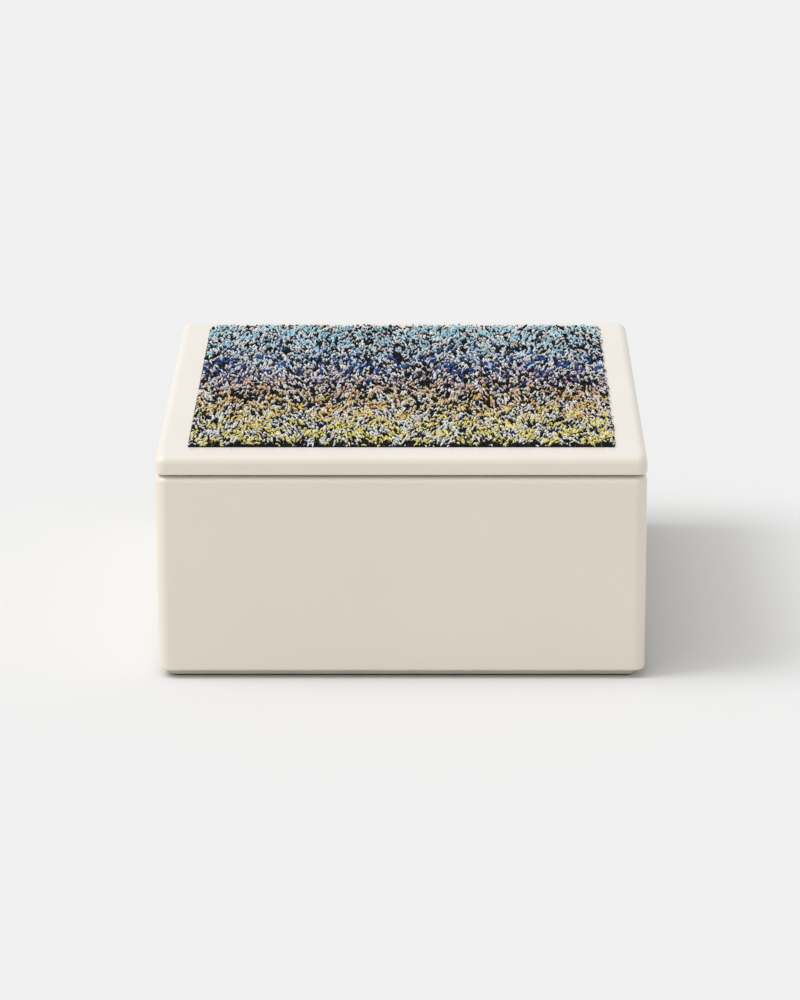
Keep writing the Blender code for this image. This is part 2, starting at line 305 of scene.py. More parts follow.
def lacquer_material():
    """Cream lacquer sprayed on board: satin, a fine orange peel, and painted shade: the top darker and
    greyer.
    """
    material, tree, shader = material_tree("cream_lacquer")
    place = place_input(tree)
    # The side and top tones differ only as painted light and shade: the top tone is painted darker and
    # greyer
    side = (0.800, 0.730, 0.624)
    top = (0.745, 0.700, 0.628)
    stops = ((0.30, 0.985), (0.70, 1.010))
    drift = noise_at(tree, place, size=90 * MM, detail=3.0)
    side_colour = mottle(tree, drift, side, stops)
    painted_top_colour = mottle(tree, drift, top, stops)
    # The painted top tone takes over as the surface turns upward
    geometry = tree.nodes.new("ShaderNodeNewGeometry")
    parts = tree.nodes.new("ShaderNodeSeparateXYZ")
    tree.links.new(geometry.outputs["Normal"], parts.inputs["Vector"])
    painted_top_share = range_of(tree, parts.outputs["Z"], low=0.0, high=1.0, from_low=0.3, from_high=0.95)
    mix = tree.nodes.new("ShaderNodeMix")
    mix.data_type = "RGBA"
    tree.links.new(painted_top_share, mix.inputs[MIX_FACTOR])
    tree.links.new(side_colour, mix.inputs[MIX_FIRST])
    tree.links.new(painted_top_colour, mix.inputs[MIX_SECOND])
    tree.links.new(mix.outputs[MIX_RESULT], shader.inputs["Base Color"])
    shader.inputs["IOR"].default_value = 1.5
    shader.inputs["Coat Weight"].default_value = 0.25
    shader.inputs["Coat Roughness"].default_value = 0.18
    polish = noise_at(tree, place, size=35 * MM, detail=4.0)
    tree.links.new(range_of(tree, polish, low=0.34, high=0.42), shader.inputs["Roughness"])
    peel = noise_at(tree, place, size=1.6 * MM, detail=1.0)
    bump_into(tree, shader, peel, depth=0.004 * MM)
    return material


def paint_material():
    """Matt cream paint of the foot, with a rolled texture."""
    material, tree, shader = material_tree("foot_paint")
    place = place_input(tree)
    paint = (0.62, 0.585, 0.51)
    drift = noise_at(tree, place, size=20 * MM, detail=4.0)
    colour = mottle(tree, drift, paint, ((0.30, 0.94), (0.70, 1.04)))
    tree.links.new(colour, shader.inputs["Base Color"])
    tree.links.new(range_of(tree, drift, low=0.55, high=0.66), shader.inputs["Roughness"])
    grain = noise_at(tree, place, size=0.7 * MM, detail=3.0)
    bump_into(tree, shader, grain, depth=0.03 * MM)
    return material


def board_material():
    """Bare fibreboard: pressed fibres, a little darker in flecks."""
    material, tree, shader = material_tree("bare_board")
    place = place_input(tree)
    board = (0.42, 0.29, 0.17)
    fibre = noise_at(tree, place, size=1.2 * MM, detail=6.0, roughness=0.65, distortion=0.6)
    colour = mottle(tree, fibre, board, ((0.30, 0.62), (0.52, 1.0), (0.72, 1.22)))
    tree.links.new(colour, shader.inputs["Base Color"])
    tree.links.new(range_of(tree, fibre, low=0.75, high=0.90), shader.inputs["Roughness"])
    bump_into(tree, shader, fibre, depth=0.05 * MM)
    return material


def felt_material():
    """Pressed charcoal felt: matted fibres with a soft edge of light; its near-black is partly painted
    contact shadow.
    """
    material, tree, shader = material_tree("charcoal_felt")
    place = place_input(tree)
    # Near-black: partly the felt's own tone, partly painted shade for the contact shadow under the foot
    wool_and_contact_shade = (0.030, 0.028, 0.026)
    mat = noise_at(tree, place, size=0.9 * MM, detail=5.0, roughness=0.7, distortion=1.2)
    colour = mottle(tree, mat, wool_and_contact_shade, ((0.30, 0.55), (0.55, 1.0), (0.75, 2.2)))
    tree.links.new(colour, shader.inputs["Base Color"])
    tree.links.new(range_of(tree, mat, low=0.88, high=0.99), shader.inputs["Roughness"])
    shader.inputs["Sheen Weight"].default_value = 0.30
    bump_into(tree, shader, mat, depth=0.20 * MM)
    return material


def suede_material():
    """Taupe suede cloth: brushed patches, a fine nap and a soft sheen."""
    material, tree, shader = material_tree("taupe_suede")
    place = place_input(tree)
    suede = (0.25, 0.20, 0.15)
    brushed_share = 0.45
    brushed = noise_at(tree, place, size=28 * MM, detail=3.0, distortion=0.8)
    nap = noise_at(tree, place, size=0.8 * MM, detail=4.0, roughness=0.7)
    both = tree.nodes.new("ShaderNodeMath")
    both.operation = "MULTIPLY_ADD"
    both.inputs[1].default_value = brushed_share
    tree.links.new(brushed, both.inputs[0])
    nap_part = range_of(tree, nap, low=0.0, high=1 - brushed_share, from_low=0.0, from_high=1.0)
    tree.links.new(nap_part, both.inputs[2])
    colour = mottle(tree, both.outputs[0], suede, ((0.36, 0.72), (0.50, 1.0), (0.66, 1.30)))
    tree.links.new(colour, shader.inputs["Base Color"])
    tree.links.new(range_of(tree, nap, low=0.84, high=0.98), shader.inputs["Roughness"])
    shader.inputs["Sheen Weight"].default_value = 0.55
    shader.inputs["Sheen Roughness"].default_value = 0.45
    bump_into(tree, shader, nap, depth=0.10 * MM)
    return material


def card_material():
    """Grey card under the cloth."""
    material, tree, shader = material_tree("grey_card")
    place = place_input(tree)
    card = (0.20, 0.19, 0.18)
    pulp = noise_at(tree, place, size=1.5 * MM, detail=5.0, roughness=0.6)
    colour = mottle(tree, pulp, card, ((0.30, 0.80), (0.70, 1.18)))
    tree.links.new(colour, shader.inputs["Base Color"])
    tree.links.new(range_of(tree, pulp, low=0.85, high=0.95), shader.inputs["Roughness"])
    bump_into(tree, shader, pulp, depth=0.03 * MM)
    return material


def ground_material():
    """The pile's dark woven ground: a plain weave of near-black yarns."""
    material, tree, shader = material_tree("woven_ground")
    place = place_input(tree)
    yarn = (0.016, 0.016, 0.020)
    heather = noise_at(tree, place, size=2.5 * MM, detail=3.0)
    colour = mottle(tree, heather, yarn, ((0.30, 0.6), (0.70, 2.4)))
    tree.links.new(colour, shader.inputs["Base Color"])
    shader.inputs["Roughness"].default_value = 0.95
    weave = []
    for axis in ("X", "Y"):
        wave = tree.nodes.new("ShaderNodeTexWave")
        wave.bands_direction = axis
        wave.inputs["Scale"].default_value = WAVE_PERIOD / WEAVE_PITCH
        tree.links.new(place, wave.inputs["Vector"])
        weave.append(wave.outputs["Fac"])
    crossed = tree.nodes.new("ShaderNodeMath")
    crossed.operation = "MULTIPLY"
    tree.links.new(weave[0], crossed.inputs[0])
    tree.links.new(weave[1], crossed.inputs[1])
    bump_into(tree, shader, crossed.outputs[0], depth=0.2 * MM)
    return material


def yarn_material(name, tone, other_tone):
    """One dyed yarn: uneven dye along the cloth, fine fibres, and a soft shine that grows with paleness."""
    material, tree, shader = material_tree("yarn_" + name)
    place = place_input(tree)
    paleness = max(tone)
    least_gloss = 0.15
    pale_gloss = 0.35
    pale_sheen = 0.80
    dye = noise_at(tree, place, size=4.5 * MM, detail=4.0, roughness=0.6)
    stops = ((0.36, tone), (0.64, other_tone))
    tree.links.new(ramp_of(tree, dye, stops), shader.inputs["Base Color"])
    fibre = noise_at(tree, place, size=0.25 * MM, detail=2.0)
    tree.links.new(range_of(tree, fibre, low=0.62, high=0.82), shader.inputs["Roughness"])
    shader.inputs["Specular IOR Level"].default_value = least_gloss + pale_gloss * paleness
    shader.inputs["Sheen Weight"].default_value = pale_sheen * paleness ** 2
    shader.inputs["Sheen Roughness"].default_value = 0.30
    shader.inputs["Sheen Tint"].default_value = (1.0, 1.0, 1.0, 1.0)
    shader.inputs["Subsurface Weight"].default_value = paleness
    shader.inputs["Subsurface Radius"].default_value = (1.0, 1.0, 1.0)
    shader.inputs["Subsurface Scale"].default_value = 1.2 * MM
    bump_into(tree, shader, fibre, depth=0.05 * MM)
    return material


def add_piece(name, mesh, material, body):
    """Adds one piece of the object, which moves with a body."""
    piece = bpy.data.objects.new(name, mesh)
    bpy.context.collection.objects.link(piece)
    mesh.materials.append(material)
    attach(piece, body)
    return piece


def rounded_ring(half_x, half_y, radius, z):
    """Points round a rectangle with round corners, anticlockwise from above."""
    points = []
    for side_x, side_y, start in ((1, 1, 0), (-1, 1, 90), (-1, -1, 180), (1, -1, 270)):
        for step in range(CORNER_STEPS + 1):
            turn = math.radians(start + 90 * step / CORNER_STEPS)
            x = side_x * (half_x - radius) + radius * math.cos(turn)
            y = side_y * (half_y - radius) + radius * math.sin(turn)
            points.append((x, y, z))
    return points


def quarter(centre_inset, centre_z, radius, start_deg, steps=EDGE_STEPS):
    """(inset, height) points clockwise round a quarter turn of a profile, both ends included."""
    points = []
    for step in range(steps + 1):
        turn = math.radians(start_deg - 90 * step / steps)
        points.append((centre_inset + radius * math.cos(turn), centre_z + radius * math.sin(turn)))
    return points


def outline_rings(shape, half_x, half_y, profile, corner_radius):
    """A ring round a rectangle with round corners for each (inset, height) of a profile."""
    rings = []
    for inset, z in profile:
        radius = max(corner_radius - inset, LEAST_CORNER_RADIUS)
        points = rounded_ring(half_x - inset, half_y - inset, radius, z)
        rings.append([shape.verts.new(point) for point in points])
    return rings


def join_rings(shape, rings, closed=False):
    """Joins each ring of points to the next by a band of faces.

    If closed, the last ring is joined to the first. If not, those two get a flat face each.
    """
    pairs = list(zip(rings, rings[1:]))
    if closed:
        pairs.append((rings[-1], rings[0]))
    else:
        shape.faces.new(rings[0])
        shape.faces.new(rings[-1])
    for near, far in pairs:
        for here in range(len(near)):
            there = (here + 1) % len(near)
            shape.faces.new((near[here], near[there], far[there], far[here]))


def smooth_finish(name, shape, sharp_deg=40):
    """Writes a bmesh to a mesh, smooth but for its sharp edges."""
    bmesh.ops.recalc_face_normals(shape, faces=shape.faces)
    mesh = bpy.data.meshes.new(name)
    shape.to_mesh(mesh)
    shape.free()
    mesh.shade_smooth()
    mesh.set_sharp_from_angle(angle=math.radians(sharp_deg))
    return mesh


def even_normals(piece):
    """Keeps large flat faces flat beside their rounded edges."""
    modifier = piece.modifiers.new("even_normals", "WEIGHTED_NORMAL")
    modifier.mode = "FACE_AREA"
    modifier.weight = 50
    modifier.keep_sharp = True


def add_case(lacquer):
    """The body's seamless lacquered shell, in place of its four mitred walls."""
    wall_low, wall_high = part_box("front_wall")
    side_low, side_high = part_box("left_wall")
    bottom_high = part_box("bottom_board")[1]
    half_x = -side_low.x
    half_y = -wall_low.y
    low = wall_low.z
    rim = wall_high.z
    thickness = side_high.x - side_low.x
    rebate_inset = half_x - bottom_high.x - GLUE_GAP
    rebate_z = bottom_high.z + GLUE_GAP
    rim_inset = thickness - CASE_RIM_RADIUS
    profile = quarter(CASE_BOTTOM_RADIUS, low + CASE_BOTTOM_RADIUS, CASE_BOTTOM_RADIUS, start_deg=270)
    profile += quarter(CASE_TOP_RADIUS, rim - CASE_TOP_RADIUS, CASE_TOP_RADIUS, start_deg=180)
    profile += quarter(rim_inset, rim - CASE_RIM_RADIUS, CASE_RIM_RADIUS, start_deg=90, steps=RIM_STEPS)
    profile += [(thickness, rebate_z), (rebate_inset, rebate_z), (rebate_inset, low)]
    shape = bmesh.new()
    rings = outline_rings(shape, half_x, half_y, profile, CASE_CORNER_RADIUS)
    join_rings(shape, rings, closed=True)
    mesh = smooth_finish("lacquered_case", shape)
    case = add_piece("lacquered_case", mesh, lacquer, "box")
    even_normals(case)
    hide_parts("front_wall", "back_wall", "left_wall", "right_wall")


def add_lid(lacquer):
    """The lid's lacquered board, with its shadow rebate and its pocket for the cloth panel."""
    low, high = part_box("lid_board")
    card_low, card_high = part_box("insert_card")
    edge_z = low.z + SHADOW_GAP
    profile = [(SHADOW_DEPTH, low.z), (SHADOW_DEPTH, edge_z)]
    profile += quarter(LID_BOTTOM_RADIUS, edge_z + LID_BOTTOM_RADIUS, LID_BOTTOM_RADIUS, start_deg=270)
    profile += quarter(LID_TOP_RADIUS, high.z - LID_TOP_RADIUS, LID_TOP_RADIUS, start_deg=180)
    pocket_x = card_high.x + GLUE_GAP + POCKET_EDGE_RADIUS
    pocket_y = card_high.y + GLUE_GAP + POCKET_EDGE_RADIUS
    pocket_z = high.z - POCKET_EDGE_RADIUS
    pocket = quarter(0, pocket_z, POCKET_EDGE_RADIUS, start_deg=90, steps=POCKET_STEPS)
    pocket.append((POCKET_EDGE_RADIUS, card_low.z - GLUE_GAP))
    shape = bmesh.new()
    rings = outline_rings(shape, high.x, high.y, profile, LID_CORNER_RADIUS)
    rings += outline_rings(shape, pocket_x, pocket_y, pocket, POCKET_CORNER_RADIUS + POCKET_EDGE_RADIUS)
    join_rings(shape, rings)
    mesh = smooth_finish("lacquered_lid", shape)
    lid = add_piece("lacquered_lid", mesh, lacquer, "lid")
    even_normals(lid)
    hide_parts("lid_board")


def loop_points(loops):
    """Points of closed yarn arches, with both feet down and the crown up.

    loops has an array for each feature: place, the middle between the feet; heading, the direction
    from foot to foot; reach, half the way between them; height, the crown's; tilt, how much the
    arch climbs along its heading; lean, how far the crown stands off from above the feet; and
    radius, the yarn's.
    """
    heading = loops["heading"]
    count = len(heading)
    progress = np.linspace(-1, 1, LOOP_RINGS + 2)
    swing = np.sin(progress * math.pi / 2)
    rise = np.cos(progress * math.pi / 2) ** CROWN_POWER
    along = np.stack([np.cos(heading), np.sin(heading), np.zeros(count)], 1)
    centre = loops["place"][:, None, :] + along[:, None, :] * (loops["reach"][:, None] * swing)[:, :, None]
    centre[:, :, 2] += loops["height"][:, None] * rise + (loops["tilt"][:, None] * swing) * rise
    centre[:, :, :2] += loops["lean"][:, None, :] * (rise ** 2)[None, :, None]
    tangent = np.zeros_like(centre)
    tangent[:, 1:-1] = centre[:, 2:] - centre[:, :-2]
    tangent[:, 1:-1] /= np.linalg.norm(tangent[:, 1:-1], axis=2, keepdims=True)
    side = np.stack([-np.sin(heading), np.cos(heading), np.zeros(count)], 1)[:, None, :]
    side = side - tangent * (side * tangent).sum(2, keepdims=True)
    side /= np.linalg.norm(side, axis=2, keepdims=True)
    normal = np.cross(side, tangent)
    turns = (np.arange(LOOP_SIDES) + 0.5) * 2 * math.pi / LOOP_SIDES
    ring = (
        side[:, 1:-1, None, :] * np.cos(turns)[None, None, :, None]
        + normal[:, 1:-1, None, :] * np.sin(turns)[None, None, :, None]
    )
    body = centre[:, 1:-1, None, :] + ring * loops["radius"][:, None, None, None]
    points = np.zeros((count, LOOP_RINGS * LOOP_SIDES + 2, 3))
    points[:, 0] = centre[:, 0]
    points[:, 1:-1] = body.reshape(count, LOOP_RINGS * LOOP_SIDES, 3)
    points[:, -1] = centre[:, -1]
    return points


def loop_faces():
    """One loop's four-sided and three-sided faces, and the places of their corners on its map tile.

    The first point is a foot, then come the rings, and the last point is the other foot.
    """
    along = [ring / (LOOP_RINGS + 1) for ring in range(LOOP_RINGS + 2)]
    around = [step / LOOP_SIDES for step in range(LOOP_SIDES + 1)]
    last_ring = 1 + (LOOP_RINGS - 1) * LOOP_SIDES
    last_foot = last_ring + LOOP_SIDES
    quads = []
    quad_places = []
    for ring in range(LOOP_RINGS - 1):
        near = 1 + ring * LOOP_SIDES
        far = near + LOOP_SIDES
        start, end = along[ring + 1], along[ring + 2]
        for step in range(LOOP_SIDES):
            there = (step + 1) % LOOP_SIDES
            low, high = around[step], around[step + 1]
            quads.append((near + step, far + step, far + there, near + there))
            quad_places.append(((start, low), (end, low), (end, high), (start, high)))
    triangles = []
    triangle_places = []
    for step in range(LOOP_SIDES):
        there = (step + 1) % LOOP_SIDES
        low, high = around[step], around[step + 1]
        middle = (low + high) / 2
        triangles.append((0, 1 + step, 1 + there))
        triangle_places.append(((along[0], middle), (along[1], low), (along[1], high)))
        triangles.append((last_foot, last_ring + there, last_ring + step))
        triangle_places.append(((along[-1], middle), (along[-2], high), (along[-2], low)))
    return quads, triangles, quad_places, triangle_places


def stamp_mesh(name, points, quads, triangles, quad_places, triangle_places):
    """Builds a mesh of many copies of the same faces over each copy's own points.

    Each copy has its own square tile of the map, so that a baked picture keeps every yarn's tone.
    """
    count, per_copy, _ = points.shape
    offsets = (np.arange(count) * per_copy)[:, None]
    quad_corners = (offsets + np.array(quads).ravel()[None]).astype(np.int32)
    triangle_corners = (offsets + np.array(triangles).ravel()[None]).astype(np.int32)
    corners = np.concatenate([quad_corners, triangle_corners], 1).ravel()
    sizes = np.tile(np.array([4] * len(quads) + [3] * len(triangles), np.int32), count)
    mesh = bpy.data.meshes.new(name)
    mesh.vertices.add(count * per_copy)
    mesh.vertices.foreach_set("co", points.astype(np.float32).ravel())
    mesh.loops.add(len(corners))
    mesh.loops.foreach_set("vertex_index", corners)
    mesh.polygons.add(len(sizes))
    starts = np.concatenate([[0], np.cumsum(sizes)[:-1]]).astype(np.int32)
    mesh.polygons.foreach_set("loop_start", starts)
    mesh.update(calc_edges=True)
    tiles = math.ceil(math.sqrt(count))
    unit = np.concatenate([np.array(quad_places).reshape(-1, 2), np.array(triangle_places).reshape(-1, 2)])
    unit = TILE_MARGIN + (1 - 2 * TILE_MARGIN) * unit
    which = np.arange(count)
    corner = np.stack([which % tiles, which // tiles], 1)[:, None, :]
    layer = mesh.uv_layers.new(name="OFBake")
    layer.data.foreach_set("uv", ((corner + unit[None]) / tiles).astype(np.float32).ravel())
    mesh.shade_smooth()
    mesh.validate()
    return mesh


def cord_mesh(name, path):
    """A round cord along a path of points, closed at both ends."""
    shape = bmesh.new()
    rings = []
    for place, point in enumerate(path):
        before = path[max(place - 1, 0)]
        after = path[min(place + 1, len(path) - 1)]
        along = (after - before).normalized()
        side = along.cross((0, 0, 1)).normalized()
        up = side.cross(along)
        ring = []
        for step in range(CORD_SIDES):
            turn = 2 * math.pi * step / CORD_SIDES
            offset = CORD_RADIUS * (side * math.cos(turn) + up * math.sin(turn))
            ring.append(shape.verts.new(point + offset))
        rings.append(ring)
    join_rings(shape, rings)
    return smooth_finish(name, shape, sharp_deg=60)


def add_binding_and_edge_shadow(material, ground_top, low, high):
    """The black cord stitched along the cloth's front and left edges, also painted shade for their shadow
    line.
    """
    inset = CORD_RADIUS + CORD_EDGE_GAP
    z = ground_top + CORD_LIFT_SHARE * CORD_RADIUS
    start = Vector((low.x + inset, high.y - inset, z))
    corner = Vector((low.x + inset, low.y + inset, z))
    end = Vector((high.x - inset, low.y + inset, z))
    path = []
    for first, last in ((start, corner), (corner, end)):
        steps = round((last - first).length / CORD_STEP)
        for step in range(steps):
            path.append(first.lerp(last, step / steps))
    path.append(end)
    for place, point in enumerate(path):
        point.z += CORD_RIPPLE * math.sin(place * CORD_RIPPLE_TURN)
    # The cord's black stands in for the shadow line at the front and left edges: painted shade
    mesh = cord_mesh("edge_cord_and_shadow", path)
    return add_piece("edge_cord_and_shadow", mesh, material, "lid")


def cell_of(x, y, low):
    """Each point's cell in a running brick layout: its row and its column."""
    row = np.floor((y - low.y) / CELL_LENGTH)
    shift = np.where(row % 2 == 0, 0.0, 0.5)
    column = np.floor((x - low.x) / CELL_WIDTH + shift)
    return row, column


def waver(place, length, share):
    """A wave up to share high, whose length is its wavelength over two pi."""
    return share * np.sin(place / length)


def patch_field(x, y):
    """A wavering broken check, 1 in the middle of its coloured patches and -1 between them."""
    wander = waver(y, length=9 * MM, share=0.08) + waver(x + y, length=5.5 * MM, share=0.06)
    drift = waver(x, length=8 * MM, share=0.09) + waver(x - 2 * y, length=7 * MM, share=0.06)
    across = np.cos(2 * math.pi * (x / PATCH_PITCH_X + wander))
    along = np.cos(2 * math.pi * (y / PATCH_PITCH_Y + drift))
    return np.tanh(PATCH_SHARPNESS * across * along)


def bell(value, middle, spread):
    """A bell curve, 1 at its middle."""
    return np.exp(-0.5 * ((value - middle) / spread) ** 2)


def pick_yarns(random, x, y, checker, shade_of_cell, low, high):
    """Chooses each loop's yarn: black and pale by turns, and in the patches the colour of that band."""
    depth = (y - low.y) / (high.y - low.y)
    depth = depth + random.normal(0, BAND_JITTER_SHARE, len(x))
    patch = patch_field(x, y)
    bands = np.array([bell(depth, *band) + BAND_FLOOR for band in YARN_BANDS.values()])
    bands /= bands.sum(0)
    dark = DARK_SHARE - DARK_PATCH_SHARE * patch + shade_of_cell
    for middle, spread, share in DARK_BANDS:
        dark += share * bell(depth, middle, spread)
    # More black loops towards the front edge: painted shade for the pile's shaded front side
    dark += PAINTED_FRONT_SHADE_SHARE * np.clip(1 - (y - low.y) / PAINTED_FRONT_SHADE_WIDTH, 0, 1)
    dark = np.clip(dark + np.where(checker, CHECKER_SHARE, -CHECKER_SHARE), *DARK_LIMITS)
    tinted = (1 - dark) * (TINT_SHARE + TINT_PATCH_SHARE * patch)
    weights = np.concatenate([[dark], [1 - dark - tinted], tinted * bands])
    chosen = (random.random(len(x))[None] > np.cumsum(weights, 0)).sum(0)
    return np.clip(chosen, 0, len(YARN_TONES) - 1)


def standing_loops(random, ground_top, low, high):
    """The main loops, in rows, turned to one side or the other by the cells of the nap."""
    columns = int((high.x - low.x) / LOOP_PITCH)
    rows = int((high.y - low.y) / ROW_PITCH)
    inset = YARN_RADIUS + PILE_INSET
    grid_x, grid_y = np.meshgrid(
        np.linspace(low.x + inset, high.x - inset, columns),
        np.linspace(low.y + inset, high.y - inset, rows),
    )
    count = grid_x.size
    x = grid_x.ravel() + random.uniform(-PLACE_JITTER_SHARE, PLACE_JITTER_SHARE, count) * LOOP_PITCH
    y = grid_y.ravel() + random.uniform(-PLACE_JITTER_SHARE, PLACE_JITTER_SHARE, count) * ROW_PITCH
    x = np.clip(x, low.x + inset, high.x - inset)
    y = np.clip(y, low.y + inset, high.y - inset)
    checker = (np.add.outer(np.arange(rows), np.arange(columns)) % 2 == 0).ravel()
    row, column = cell_of(x, y, low)
    side = np.where((row + column) % 2 == 0, 1.0, -1.0)
    cell_shades = random.uniform(-CELL_SHADE, CELL_SHADE, (CELL_SHADES_REPEAT, CELL_SHADES_REPEAT))
    cells = np.stack([row, column]).astype(int) % CELL_SHADES_REPEAT
    shade_of_cell = cell_shades[cells[0], cells[1]]
    yarn = pick_yarns(random, x, y, checker, shade_of_cell, low, high)
    heading = side * math.radians(HEADING_DEG) + random.normal(0, math.radians(HEADING_SPREAD_DEG), count)
    reach = random.uniform(*REACH_MM, count) * MM
    rise = np.where(yarn > 0, PALE_LOOP_RISE, 0)
    height = LOOP_HEIGHT + rise + random.normal(0, HEIGHT_SPREAD_MM, count) * MM
    height = np.clip(height, SHORTEST_LOOP, TALLEST_LOOP)
    tilt = side * TILT + random.normal(0, TILT_SPREAD_MM, count) * MM
    lean = random.normal(0, LEAN_SPREAD_MM, (count, 2)) * MM
    lean[:, 0] += side * LEAN
    radius = YARN_RADIUS * random.uniform(*RADIUS_SHARES, count)

    # The front and left edges stand straight behind their binding; the others are loose
    bound = (x < low.x + BOUND_WIDTH) | (y < low.y + BOUND_WIDTH)
    lean[bound] = np.abs(lean[bound]) * BOUND_LEAN_SHARE
    from_edge = np.minimum(np.minimum(x - low.x, high.x - x), y - low.y)
    shoulder = SHOULDER_SHARE + (1 - SHOULDER_SHARE) * np.clip(from_edge / SHOULDER_WIDTH, 0, 1)
    loose = (x > high.x - LOOSE_WIDTH) | (y > high.y - LOOSE_WIDTH)
    lean[loose] += random.uniform(*LOOSE_LEAN_MM, (int(loose.sum()), 2)) * MM
    return {
        "place": np.stack([x, y, np.full(count, ground_top - FOOT_DEPTH)], 1),
        "heading": heading,
        "reach": reach,
        "height": height * shoulder,
        "tilt": tilt * shoulder,
        "lean": lean,
        "radius": radius,
        "yarn": yarn,
    }


def stray_ends(random, lid_top, low, high):
    """Thin yarn ends on the lacquer along the loose edges."""
    along_right = random.random(STRAYS) < STRAY_RIGHT_SHARE
    past_right = high.x + random.uniform(*STRAY_PAST_RIGHT_MM, STRAYS) * MM
    across = random.uniform(low.x + STRAY_START, high.x, STRAYS)
    back = random.uniform(low.y + STRAY_START, high.y, STRAYS)
    past_back = high.y + random.uniform(*STRAY_PAST_BACK_MM, STRAYS) * MM
    x = np.where(along_right, past_right, across)
    y = np.where(along_right, back, past_back)
    radius = random.uniform(*STRAY_RADIUS_MM, STRAYS) * MM
    return {
        "place": np.stack([x, y, lid_top + radius + STRAY_LIFT], 1),
        "heading": random.uniform(0, math.pi, STRAYS),
        "reach": random.uniform(*STRAY_REACH_MM, STRAYS) * MM,
        "height": random.uniform(*STRAY_HEIGHT_MM, STRAYS) * MM,
        "tilt": np.zeros(STRAYS),
        "lean": random.normal(0, STRAY_LEAN_SPREAD_MM, (STRAYS, 2)) * MM,
        "radius": radius,
        "yarn": np.where(random.random(STRAYS) < STRAY_BLACK_SHARE, 0, 1),
    }


def filling_loops(random, ground_top, low, high):
    """Low loops of all the yarns, which fill the ground between the others."""
    inset = YARN_RADIUS + PILE_INSET
    grid_x, grid_y = np.meshgrid(
        np.arange(low.x + inset, high.x - inset, FILL_PITCH),
        np.arange(low.y + inset, high.y - inset, FILL_PITCH),
    )
    count = grid_x.size
    x = grid_x.ravel() + random.uniform(-FILL_JITTER_MM, FILL_JITTER_MM, count) * MM
    y = grid_y.ravel() + random.uniform(-FILL_JITTER_MM, FILL_JITTER_MM, count) * MM
    fill = {
        "place": np.stack([x, y, np.full(count, ground_top - FOOT_DEPTH)], 1),
        "heading": random.uniform(0, math.pi, count),
        "reach": random.uniform(*FILL_REACH_MM, count) * MM,
        "height": FILL_HEIGHT * random.uniform(*FILL_HEIGHT_SHARES, count),
        "tilt": np.zeros(count),
        "lean": random.normal(0, FILL_LEAN_SPREAD_MM, (count, 2)) * MM,
        "radius": YARN_RADIUS * random.uniform(*FILL_RADIUS_SHARES, count),
    }
    checker = random.random(count) < FILL_CHECKER_SHARE
    fill["yarn"] = pick_yarns(random, x, y, checker, FILL_SHADE, low, high)
    return fill


def add_pile(ground_top, lid_top, low, high):
    """Thousands of small yarn loops, in pieces of one yarn each, and the cord that binds them and paints
    the edges' shadow line.
    """
    random = np.random.default_rng(SEED)
    groups = [
        standing_loops(random, ground_top, low, high),
        stray_ends(random, lid_top, low, high),
        filling_loops(random, ground_top, low, high),
    ]
    loops = {feature: np.concatenate([group[feature] for group in groups]) for feature in groups[0]}
    pile = []
    for index, (yarn, tones) in enumerate(YARN_TONES.items()):
        material = yarn_material(yarn, *tones)
        if yarn == "black":
            pile.append(add_binding_and_edge_shadow(material, ground_top, low, high))
        members = np.flatnonzero(loops["yarn"] == index)
        for part in range(math.ceil(len(members) / LOOPS_PER_PIECE)):
            mine = members[part * LOOPS_PER_PIECE : (part + 1) * LOOPS_PER_PIECE]
            name = "pile_%s_%d" % (yarn, part + 1)
            points = loop_points({feature: values[mine] for feature, values in loops.items()})
            mesh = stamp_mesh(name, points, *loop_faces())
            pile.append(add_piece(name, mesh, material, "lid"))
    return pile


def add_cloth(material):
    """The pile cloth: its woven ground, laid on the card, with the loops standing on it."""
    low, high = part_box("textile_insert")
    lid_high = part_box("lid_board")[1]
    half_x = high.x
    half_y = high.y
    columns = round((high.x - low.x) / GROUND_STEP)
    rows = round((high.y - low.y) / GROUND_STEP)
    shape = bmesh.new()
    bmesh.ops.create_grid(shape, x_segments=columns, y_segments=rows, size=0.5)
    for vertex in shape.verts:
        vertex.co.x *= 2 * half_x
        vertex.co.y *= 2 * half_y
        ripple = math.sin(vertex.co.x / RIPPLE_LENGTH_X) * math.sin(vertex.co.y / RIPPLE_LENGTH_Y)
        vertex.co.z = low.z + GROUND_THICKNESS + GROUND_RIPPLE * (1 + ripple)
    everything = shape.faces[:] + shape.edges[:] + shape.verts[:]
    bmesh.ops.solidify(shape, geom=everything, thickness=GROUND_THICKNESS)
    mesh = smooth_finish("pile_ground", shape)
    ground = add_piece("pile_ground", mesh, material, "lid")
    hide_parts("textile_insert")
    ground_top = max(vertex.co.z for vertex in mesh.vertices)
    pile = add_pile(ground_top, lid_high.z, low, high)


def finish_nodes(lacquer):
    """Gives the CAD nodes that stay their materials."""
    finishes = {
        "lid_locator": lacquer,
        "plinth_board": paint_material(),
        "base_felt": felt_material(),
        "insert_card": card_material(),
    }
    board = board_material()
    suede = suede_material()
    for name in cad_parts:
        if name.endswith("_spline") or name == "bottom_board":
            finishes[name] = board
        elif name.endswith("_lining"):
            finishes[name] = suede
    for name, material in finishes.items():
        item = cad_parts[name]
        for slot in item.material_slots:
            slot.link = "OBJECT"
            slot.material = material


